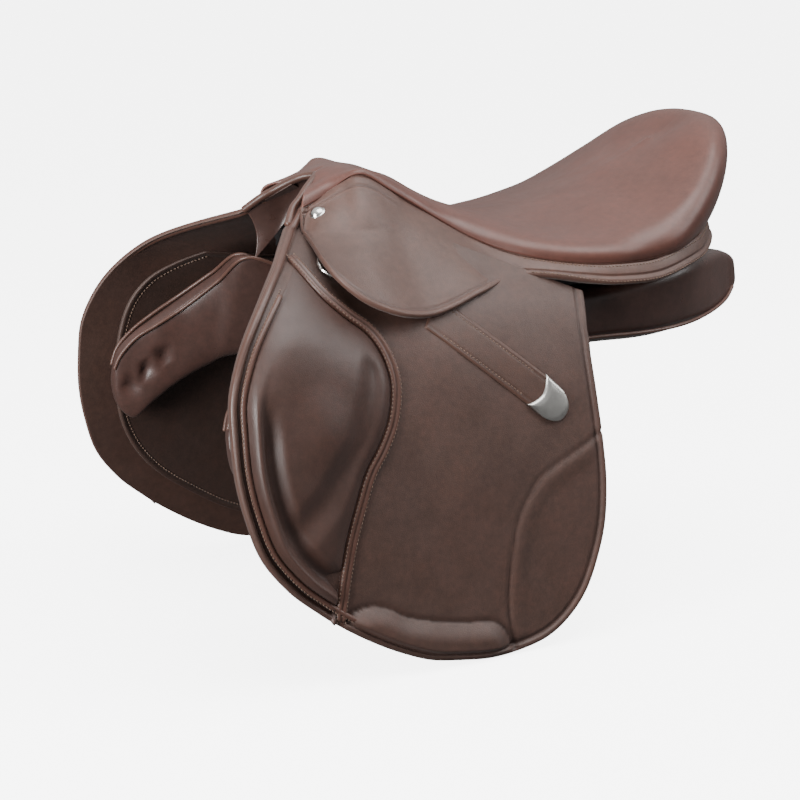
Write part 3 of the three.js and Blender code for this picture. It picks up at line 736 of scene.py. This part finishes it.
def skirt(s, name):
    """one skirt and the band it turns into, with the band's thread and the nail at the front"""
    base = skirt_grid(420, 72)
    normals = grid_normals(base)
    if normals[30, 100, 1] < 0:          # a point on the skirt's side, where outwards is +y
        normals = -normals
    grid = base + normals * skirt_relief(base)[..., None]
    face, back = grid * [1, s, 1], (base - normals * SKIRT_THICKNESS) * [1, s, 1]
    piece = slab(f"skirt_leather_{name}", face, back, SKIRT_HIDE)
    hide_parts(f"skirt_{name}", f"skirt_base_{name}", "cantle_band")
    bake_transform(piece)
    mirror = np.array([1, s, 1])
    rows = []
    for row in (12, -12):
        behind = base[row, :, 0] > 146
        rows.append((face[row][behind] + normals[row][behind] * mirror * 0.2, normals[row][behind] * mirror))
    thread = stitch_rows(f"band_stitching_{name}", rows)
    on_saddle(thread)
    spot = np.argmin(np.linalg.norm(base - np.array([-20, 50, -28]), axis=-1))
    nail(face.reshape(-1, 3)[spot], (normals.reshape(-1, 3) * mirror)[spot], name)


def nail(place, normal, name):
    """the domed nail that holds the skirt's front corner, with a small collar"""
    profile = [(0, 3.6), (1.6, 3.5), (3.2, 3.0), (4.6, 2.2), (5.6, 1.2), (6.2, 0.5), (6.4, 0.1), (6.9, 0), (7.2, -0.4),
               (7.2, -3.0), (0, -3.0)]
    along = np.cross(normal, [0, 0, 1])
    along /= np.linalg.norm(along)
    other = np.cross(normal, along)
    around = 40
    turns = np.linspace(0, 2 * math.pi, around, endpoint=False)
    vertices = [place + r * (np.cos(a) * along + np.sin(a) * other) + h * normal for r, h in profile for a in turns]
    faces = [[k * around + i, k * around + (i + 1) % around,
              (k + 1) * around + (i + 1) % around, (k + 1) * around + i]
             for k in range(len(profile) - 1) for i in range(around)]
    vertices = to_frame(vertices)
    head = mesh_object(f"saddle_nail_head_{name}", vertices, outward(vertices, faces), STEEL)
    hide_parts(f"saddle_nail_{name}")
    on_saddle(head)


for NAME, SIDE in SIDES:
    skirt(SIDE, NAME)


# ---------------------------------------------------------------- the panels, which rest on the horse's back
# rings across the panel: x, then (y, z) of the inner top, outer top, outer bottom and inner bottom corners
PANEL = [
    (-144, (124, -184), (131, -182), (135, -191), (127, -194)),
    (-138, (119, -167), (129, -162), (137, -212), (124, -213)),
    (-125, (113, -151), (125, -146), (137, -224), (120, -224)),
    (-109, (105, -140), (118, -132), (130, -212), (112, -208)),
    (-85, (94, -123), (107, -114), (124, -194), (103, -190)),
    (-62, (72, -98), (86, -92), (120, -180), (94, -177)),
    (-46, (46, -74), (58, -72), (116, -172), (82, -168)),
    (-10, (36, -84), (48, -92), (108, -166), (64, -164)),
    (50, (35, -94), (48, -98), (107, -161), (56, -163)),
    (120, (34, -98), (84, -100), (114, -146), (50, -160)),
    (200, (34, -97), (112, -97), (121, -141), (52, -158)),
    (265, (34, -90), (124, -88), (120, -142), (52, -158)),
    (310, (34, -84), (116, -82), (112, -141), (51, -155)),
    (350, (34, -84), (92, -82), (94, -138), (49, -151)),
    (385, (34, -88), (66, -86), (72, -132), (44, -141)),
    (404, (34, -95), (52, -94), (58, -121), (42, -126)),
]
DIMPLES = [(-103, 108, -166), (-116, 112, -182), (-130, 117, -198)]


def panel_point(s, t, across, up):
    """a point of the panel: t along it, across and up from -1 to 1"""
    rings = np.array([[x, *a, *b, *c, *d] for x, a, b, c, d in PANEL], float)
    ring = spline(rings, t)
    x = ring[:, 0]
    inner_top, outer_top, outer_low, inner_low = (ring[:, k:k + 2] for k in (1, 3, 5, 7))
    p, q = ((1 + across) / 2)[:, None], ((1 + up) / 2)[:, None]
    yz = (1 - q) * ((1 - p) * inner_low + p * outer_low) + q * ((1 - p) * inner_top + p * outer_top)
    return np.stack([x, s * yz[:, 0], yz[:, 1]], 1)


def panel(s, name):
    """one cushion: a rounded loft with a swollen belly, dimples at its front and piping on three seams"""
    rings, around = 190, 88
    t = np.linspace(0, 1, rings)
    angle = np.linspace(0, 2 * math.pi, around, endpoint=False)
    flat = 0.5
    across = np.sign(np.cos(angle)) * np.abs(np.cos(angle)) ** flat
    up = np.sign(np.sin(angle)) * np.abs(np.sin(angle)) ** flat
    grid = np.stack([panel_point(s, t, np.full(rings, a), np.full(rings, b)) for a, b in zip(across, up)], 1)
    centre = grid.mean(1, keepdims=True)
    away = np.minimum(t / 0.05, (1 - t) / 0.035)
    shrink = np.sqrt(np.clip(1 - (1 - np.clip(away, 0, 1)) ** 2, 0.0009, 1))
    grid = centre + (grid - centre) * shrink[:, None, None]
    grid[..., 0] += (bump((1 - t) / 0.04) * 7)[:, None]
    swell = (2.2 * (1 - np.abs(across) ** 4) * (1 - np.abs(up) ** 4))[None, :] * shrink[:, None]
    lengths = np.linalg.norm(grid - centre, axis=-1, keepdims=True)
    direction = (grid - centre) / np.maximum(lengths, 1e-6)
    belly = 3.0 * np.maximum(-np.sin(angle), 0)[None, :] * shrink[:, None]
    grid = grid + direction * swell[..., None] + np.array([0, 0, -1]) * belly[..., None]
    for x, y, z in DIMPLES:
        away = np.linalg.norm((grid - [x, s * y, z]) / [1, 1.6, 1], axis=-1)
        grid = grid - direction * (7.5 * bump(away / 13) ** 1.3)[..., None]
    wave = 0.7 * np.sin(grid[..., 0] / 19 + grid[..., 2] / 27) * np.sin(grid[..., 0] / 47 + 1)
    grid = grid + direction * (wave * shrink[:, None])[..., None]
    v = to_frame(grid.reshape(-1, 3))
    index = np.arange(rings * around).reshape(rings, around)
    after = np.roll(index, -1, axis=1)
    faces = np.stack([index[:-1], after[:-1], after[1:], index[1:]], -1).reshape(-1, 4).tolist()
    faces += [index[0, ::-1].tolist(), index[-1].tolist()]
    body = mesh_object(f"panel_leather_{name}", v, outward(v, faces), PANEL_HIDE)
    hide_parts(f"panel_{name}")
    on_saddle(body)
    cords = []
    for a, b, start, end in ((-0.93, 0.98, 0.02, 0.6), (0.97, 0.97, 0.02, 0.55), (0.99, -0.93, 0.45, 0.985)):
        along = np.linspace(start, end, 200)
        near = panel_point(s, along, np.full(200, a), np.full(200, b))
        middle = panel_point(s, along, np.zeros(200), np.zeros(200))
        outwards = (near - middle) / np.linalg.norm(near - middle, axis=1)[:, None]
        cords.append(near + outwards * 0.6)
    for k, path in enumerate(cords):
        cord = tube(f"panel_piping_{k + 1}_{name}", path, 1.7, CORD_HIDE)
        on_saddle(cord)


for NAME, SIDE in SIDES:
    panel(SIDE, NAME)


# ---------------------------------------------------------------- sweat flaps and the blocks on them
SWEAT_FRONT = [(-66, -74), (-88, -84), (-110, -98), (-125, -118), (-133, -144), (-136, -174), (-135, -205),
               (-129, -236), (-114, -266), (-90, -292), (-57, -315), (-18, -337), (40, -357)]
SWEAT_REAR = [(150, -100), (153, -125), (155, -150), (156, -176), (157, -202), (157, -228), (155, -254), (151, -282),
              (144, -307), (132, -328), (112, -344), (80, -354), (40, -357)]
KNEE_FRONT = [(-112, -126), (-122, -144), (-126, -176), (-126, -206), (-120, -234), (-107, -262), (-89, -285)]
KNEE_REAR = [(-96, -120), (-84, -146), (-82, -176), (-82, -206), (-81, -234), (-80, -262), (-80, -290)]
THIGH_FRONT = [(137, -210), (138, -240), (138, -270), (136, -300), (131, -334)]
THIGH_REAR = [(152, -208), (154, -240), (153, -270), (149, -302), (139, -336)]


def sweat_flap(s, name):
    """the under-flap; its beaded, stitched face looks inwards, where the camera sees the off one"""
    x, z, outline = sheet_grid(SWEAT_FRONT, SWEAT_REAR, 90, 110)
    edge = np.abs(distance(x, z, outline))
    relief = 0.9 * np.sqrt(np.maximum(1 - ((edge - 2) / 2) ** 2, 0)) - 0.5 * bump((edge - 6) / 1.6)
    face = on_side(s, x, z, SWEAT_OUT + 0.3 * hide_swell(x, z))
    back = on_side(s, x, z, SWEAT_IN - relief)
    leaf = slab(f"sweat_flap_leather_{name}", face, back, SWEAT_HIDE)
    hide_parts(f"sweat_flap_{name}")
    on_saddle(leaf)
    line = inset(spline(SWEAT_FRONT, ALONG), 6)
    path, normals = surface_line(s, line[::6], SWEAT_IN - 0.4)
    thread = stitch_rows(f"sweat_flap_stitching_{name}", [(path, -normals)])
    on_saddle(thread)


def block(s, name, label, front, rear):
    """a padded block sewn to the sweat flap, highest along its middle"""
    columns, rows = 34, 70
    x, z, _ = sheet_grid(front, rear, columns, rows)
    u = np.linspace(-1, 1, columns)[None, :]
    v = np.linspace(-1, 1, rows)[:, None]
    crown = np.sqrt(np.clip(1 - np.abs(u) ** 3, 0, 1)) * np.sqrt(np.clip(1 - np.abs(v) ** 8, 0, 1))
    face = on_side(s, x, z, BLOCK_ROOT + BLOCK_HEIGHT * crown)
    back = on_side(s, x, z, BLOCK_IN)
    pad = slab(f"{label}_leather_{name}", face, back, PANEL_HIDE)
    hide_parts(f"{label}_{name}")
    on_saddle(pad)


for NAME, SIDE in SIDES:
    sweat_flap(SIDE, NAME)
    block(SIDE, NAME, "knee_block", KNEE_FRONT, KNEE_REAR)
    block(SIDE, NAME, "thigh_block", THIGH_FRONT, THIGH_REAR)


# ---------------------------------------------------------------- the pommel's piped arch and its lining
ARCH = [(-47, 45, -31), (-36.8, 33, -19.7), (-27, 26.5, -13), (-17, 18.5, -6), (-6, 9.5, 0), (1, 0, 2)]


def pommel():
    """the cord over the pommel's arch, and the lining that falls from it"""
    half = spline(ARCH, np.linspace(0, 1, 60))
    arch = np.concatenate([half * [1, -1, 1], half[-2::-1]])
    cord = tube("pommel_piping", arch + [-1, 0, -0.5], 3.4, CORD_HIDE, sides=14)
    on_saddle(cord)
    u = np.linspace(0, 1, 40)
    low = np.array([(-40, 42, -76), (-24, 36, -56), (-14, 28, -40), (-6, 16, -28), (-2, 0, -24)], float)
    inner = spline(low, np.linspace(0, 1, 60))
    inner = np.concatenate([inner * [1, -1, 1], inner[-2::-1]])
    dip = np.sin(math.pi * u)[:, None, None] * np.array([6, 0, 2])
    grid = lerp(arch[None], inner[None], u[:, None, None]) + dip
    lining = sheet("pommel_lining", grid, PANEL_HIDE, 2.0)
    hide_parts("pommel_facing")
    on_saddle(lining)


pommel()


# ---------------------------------------------------------------- keeper straps on the flaps
KEEPER_HALF, CAP_HALF, CAP_ROUND = 15.0, 15.6, 2.6     # half-widths, and the cap's rounded rim


def keeper(s, name):
    """the strap across the flap, with two rows of thread"""
    start, end = np.array([50.5, -107.5]), np.array([128.5, -171.6])
    t = np.linspace(-0.17, 1.02, 80)[:, None]
    middle = start + (end - start) * t
    along = (end - start) / np.linalg.norm(end - start)
    across = np.array([-along[1], along[0]])
    v = np.linspace(-1, 1, 25)
    grid = middle[:, None] + across * KEEPER_HALF * v[None, :, None]
    x, z = grid[..., 0], grid[..., 1]
    rim = (1 - np.abs(v))[None, :] * KEEPER_HALF
    height = 1.1 * np.sqrt(np.clip(rim / 1.4, 0, 1)) - 0.4 * bump((rim - 4) / 1.4)
    face = on_side(s, x, z, FLAP_OUT + 0.7 + height)
    back = on_side(s, x, z, FLAP_OUT + 0.1)
    strap = slab(f"keeper_strap_leather_{name}", face, back, STRAP_HIDE)
    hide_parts(f"keeper_strap_{name}")
    on_flap(strap)
    rows = []
    for lean in (-11, 11):
        line = start + (end - start) * np.linspace(0.0, 0.8, 60)[:, None] + across * lean
        x, z = line[:, 0], line[:, 1]
        rows.append((on_side(s, x, z, FLAP_OUT + 1.5), side_normals(s, x, z)))
    thread = stitch_rows(f"keeper_stitching_{name}", rows)
    on_flap(thread)


def keeper_cap(s, name):
    """the plain metal cap on the strap's end: two horns, a hollowed top edge and a rounded tip"""
    root, tip = np.array([122.5, -166.5]), np.array([147.0, -190.0])
    along = (tip - root) / np.linalg.norm(tip - root)
    across = np.array([-along[1], along[0]])
    b = np.linspace(-1, 1, 41)[None, :]
    t = np.linspace(0, 1, 36)[:, None]
    top = 6.5 * (1 - np.abs(b) ** 1.7) - 1.5
    foot = 9 + 24.5 * np.sqrt(np.clip(1 - np.abs(b) ** 2.5, 0, 1))
    a = lerp(top, foot, t)
    grid = root + a[..., None] * along + (b * CAP_HALF)[..., None] * across
    x, z = grid[..., 0], grid[..., 1]
    rim = np.minimum(np.minimum((1 - np.abs(b)) * CAP_HALF, a - top), foot - a)
    rounded = np.sqrt(np.clip(1 - (1 - np.clip(rim / CAP_ROUND, 0, 1)) ** 2, 0, 1))
    height = CAP_ROUND * rounded + 0.7 * np.cos(b * 1.4) * smooth(rim / 6)
    face = on_side(s, x, z, FLAP_OUT + 1.2 + height)
    back = on_side(s, x, z, FLAP_OUT + 0.2)
    cap = slab(f"keeper_cap_metal_{name}", face, back, BRUSHED)
    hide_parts(f"keeper_cap_{name}")
    on_flap(cap)


for NAME, SIDE in SIDES:
    keeper(SIDE, NAME)
    keeper_cap(SIDE, NAME)

# ---------------------------------------------------------------- finishes of the CAD nodes that stay
FINISHES = {
    "straining_web": WEBBING, "tree": RESIN, "gullet_plate": DARK_STEEL, "billet": STRAP_HIDE,
    "girth_web": WEBBING, "dring": STEEL, "dring_chape": STRAP_HIDE, "stirrup_bar": DARK_STEEL,
    "bar_rivet": STEEL, "bar_catch": DARK_STEEL, "point_pocket": SWEAT_HIDE,
}
for node_name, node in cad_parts.items():
    if node.type != "MESH" or node.hide_render:
        continue
    stem = max((key for key in FINISHES if node_name.startswith(key)), key=len)
    node.data.materials.clear()
    node.data.materials.append(FINISHES[stem])

# ---------------------------------------------------------------- floor, light and camera
cad_low, cad_high = Vector(cad_box[0]), Vector(cad_box[1])
BACKDROP = 5.0                           # how bright the floor and the backdrop look to the camera
WORLD_STRENGTH = 1.25
FLOOR_HALF = 9.0                         # m
floor_material, floor_tree, floor_shader = nodes_of("pale_floor")
floor_where = add_node(floor_tree, "ShaderNodeTexCoord").outputs["Object"]
floor_seen = add_node(floor_tree, "ShaderNodeLightPath").outputs["Is Camera Ray"]
floor_tone = ramp(floor_tree, noise(floor_tree, floor_where, 2.5), [(0.3, (0.93, 0.93, 0.93, 1)),
                                                                 (0.7, (0.96, 0.96, 0.96, 1))])
floor_colour = add_node(floor_tree, "ShaderNodeMix", {"Factor": floor_seen, 6: (0.1, 0.1, 0.1, 1), 7: floor_tone},
                        data_type="RGBA").outputs[2]
floor_tree.links.new(floor_colour, floor_shader.inputs["Base Color"])
floor_tree.links.new(floor_seen, floor_shader.inputs["Emission Strength"])
floor_shader.inputs["Emission Color"].default_value = (*[BACKDROP] * 3, 1)
floor_shader.inputs["Roughness"].default_value = 1.0
floor_shader.inputs["Specular IOR Level"].default_value = 0.0
floor_mesh = bpy.data.meshes.new("floor")
corners = [(FLOOR_HALF * i, FLOOR_HALF * j, 0) for i, j in ((-1, -1), (1, -1), (1, 1), (-1, 1))]
floor_mesh.from_pydata(corners, [], [(0, 1, 2, 3)])
floor_mesh.materials.append(floor_material)
floor = bpy.data.objects.new("floor", floor_mesh)
floor.location.z = cad_low.z - 0.001
bpy.context.scene.collection.objects.link(floor)

world = bpy.data.worlds.new("studio")
bpy.context.scene.world = world
world.use_nodes = True
sky = world.node_tree
direction = add_node(sky, "ShaderNodeTexCoord").outputs["Generated"]
height = add_node(sky, "ShaderNodeSeparateXYZ", {"Vector": direction}).outputs["Z"]
dome = ramp(sky, height, [(0.0, (0.13, 0.13, 0.13, 1)), (0.35, (0.4, 0.4, 0.4, 1)), (0.95, (1, 1, 1, 1))])
seen = add_node(sky, "ShaderNodeLightPath").outputs["Is Camera Ray"]
pale = (*[BACKDROP / WORLD_STRENGTH] * 3, 1)
backdrop = add_node(sky, "ShaderNodeMix", {"Factor": seen, 6: dome, 7: pale}, data_type="RGBA").outputs[2]
sky.links.new(backdrop, sky.nodes["Background"].inputs["Color"])
sky.nodes["Background"].inputs["Strength"].default_value = WORLD_STRENGTH


def area_light(name, place, width, height, watts):
    """a soft light aimed at the saddle's middle, unseen by the camera"""
    light = bpy.data.lights.new(name, "AREA")
    light.shape = "RECTANGLE"
    light.size, light.size_y, light.energy = width, height, watts
    obj = bpy.data.objects.new(name, light)
    bpy.context.scene.collection.objects.link(obj)
    obj.location = place
    obj.visible_camera = False
    obj.rotation_euler = (middle - place).to_track_quat("-Z", "Y").to_euler()


middle = (cad_low + cad_high) / 2
area_light("top_softbox", middle + Vector((0.1, -0.5, 1.7)), 1.9, 1.3, 42)
area_light("front_softbox", middle + Vector((-2.2, -0.7, 0.35)), 0.9, 1.1, 85)
area_light("rear_softbox", middle + Vector((1.7, -1.0, 1.2)), 0.8, 1.2, 20)

# the camera's estimated place: its direction, its lens and sensor in mm, and its distance in m
AZIMUTH, ELEVATION = math.radians(-28), math.radians(14)
LENS, SENSOR, DISTANCE = 99.2, 36, 1.897
back = Vector((math.sin(AZIMUTH) * math.cos(ELEVATION), -math.cos(AZIMUTH) * math.cos(ELEVATION),
               math.sin(ELEVATION)))
camera_data = bpy.data.cameras.new("camera")
camera_data.lens, camera_data.sensor_width, camera_data.clip_end = LENS, SENSOR, 50
camera = bpy.data.objects.new("camera", camera_data)
bpy.context.scene.collection.objects.link(camera)
target = Vector(to_frame([42.1, -75.1, -186.5]))
camera.location = target + back * DISTANCE
camera.rotation_euler = back.to_track_quat("Z", "Y").to_euler()
bpy.context.scene.camera = camera
